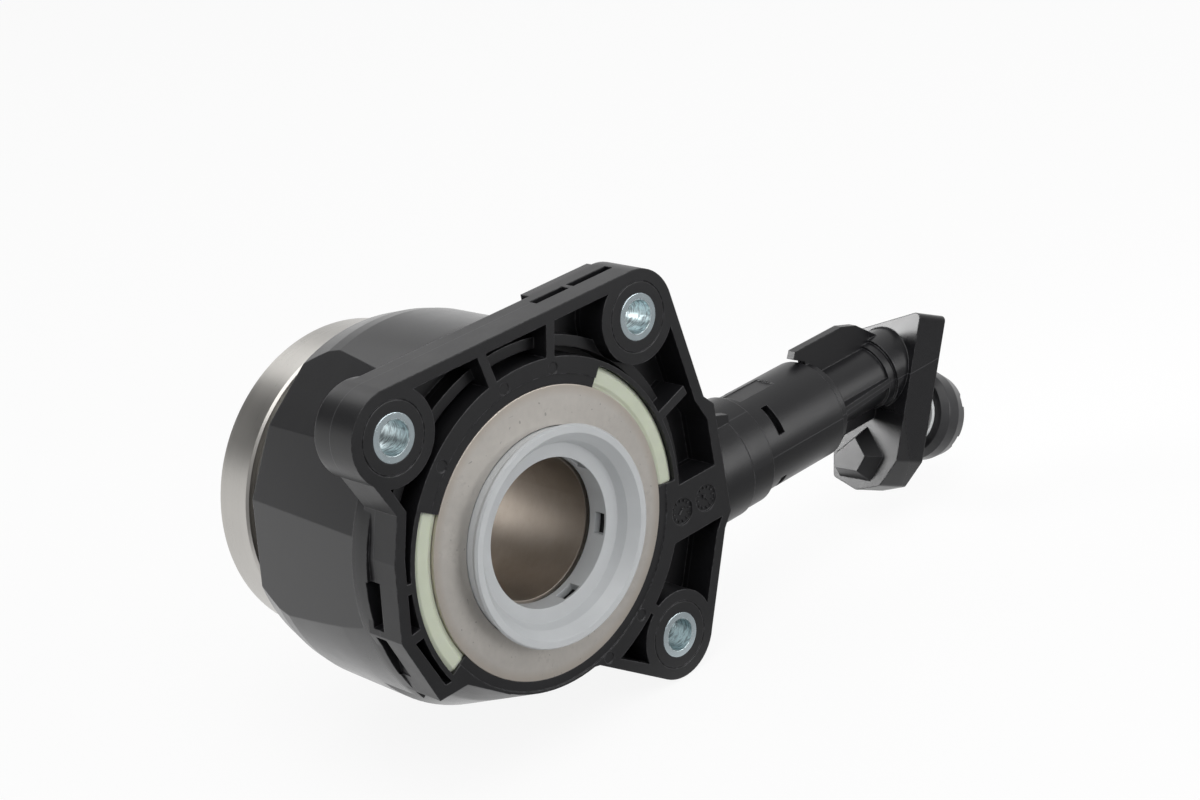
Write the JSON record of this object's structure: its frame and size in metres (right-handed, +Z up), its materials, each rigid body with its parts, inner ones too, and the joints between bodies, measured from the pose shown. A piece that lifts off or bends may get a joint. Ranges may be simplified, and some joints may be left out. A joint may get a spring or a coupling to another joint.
{
  "type": "concentric clutch slave cylinder",
  "caption": "Concentric clutch slave cylinder with release bearing, spring bell, mounting flange with bolt eyes, guide tube, grey shaft seal and a side inlet arm with cover plate.",
  "frame": {"origin": "centre of the mounting face on the bore axis", "axes": "+Y along the bore axis from the mounting face to the release bearing, +X along the inlet arm, +Z up"},
  "size_m": [0.1692, 0.0686, 0.0858],
  "materials": {
    "housing_plastic": "fine grain",
    "fitting_plastic": "fine grain",
    "zinc": "bright zinc plate",
    "tube_steel": "drawn steel, warm grey",
    "bearing_steel": "satin ground steel",
    "spring_steel": "oiled spring wire",
    "ball_steel": "polished",
    "carrier_grey": "smooth",
    "seal_green": "smooth",
    "seal_black": "smooth",
    "piston_plastic": "smooth",
    "cage_plastic": "smooth",
    "ring_white": "smooth"
  },
  "bodies": {
    "housing_body": {"housing": "housing_plastic", "bolt_sleeves": "zinc", "guide_tube": "tube_steel", "shaft_seal_carrier": "carrier_grey", "shaft_seal": "seal_black", "seal_garter_spring": "spring_steel", "face_seal": "seal_green", "tube_o_ring": "seal_black", "stop_ring": "spring_steel", "preload_spring": "spring_steel", "snap_sleeve": "fitting_plastic", "inlet_tube": "fitting_plastic", "port_seal": "seal_black", "inlet_o_ring": "seal_black"},
    "piston_body": {"piston": "piston_plastic", "piston_seal": "seal_black", "dust_wiper": "seal_black", "bearing_carrier": "bearing_steel", "bearing_clip": "spring_steel", "bearing_outer_ring": "bearing_steel", "bearing_shield": "bearing_steel"},
    "contact_ring_body": {"bearing_inner_ring": "bearing_steel"},
    "cage_body": {"bearing_cage": "cage_plastic", "bearing_balls": "ball_steel"},
    "release_collar_body": {"port_collar": "fitting_plastic", "port_ring": "ring_white"}
  },
  "joints": [
    {"name": "release_stroke", "type": "slide", "parent": "housing_body", "child": "piston_body", "axis": [0, 1, 0], "range_m": [-0.012, 0], "stiffness_N_per_m": 2500, "deforming": ["preload_spring"]},
    {"name": "bearing_spin", "type": "hinge", "parent": "piston_body", "child": "contact_ring_body", "pos_m": [0, 0.05775, 0], "axis": [0, 1, 0], "continuous": true},
    {"name": "cage_spin", "type": "hinge", "parent": "piston_body", "child": "cage_body", "pos_m": [0, 0.05775, 0], "axis": [0, 1, 0], "continuous": true},
    {"name": "collar_release", "type": "slide", "parent": "housing_body", "child": "release_collar_body", "axis": [0.9063, 0, -0.4226], "range_m": [-0.0018, 0], "stiffness_N_per_m": 400}
  ],
  "couplings": [
    {"joint": "cage_spin", "follows": "bearing_spin", "ratio": 0.45}
  ]
}
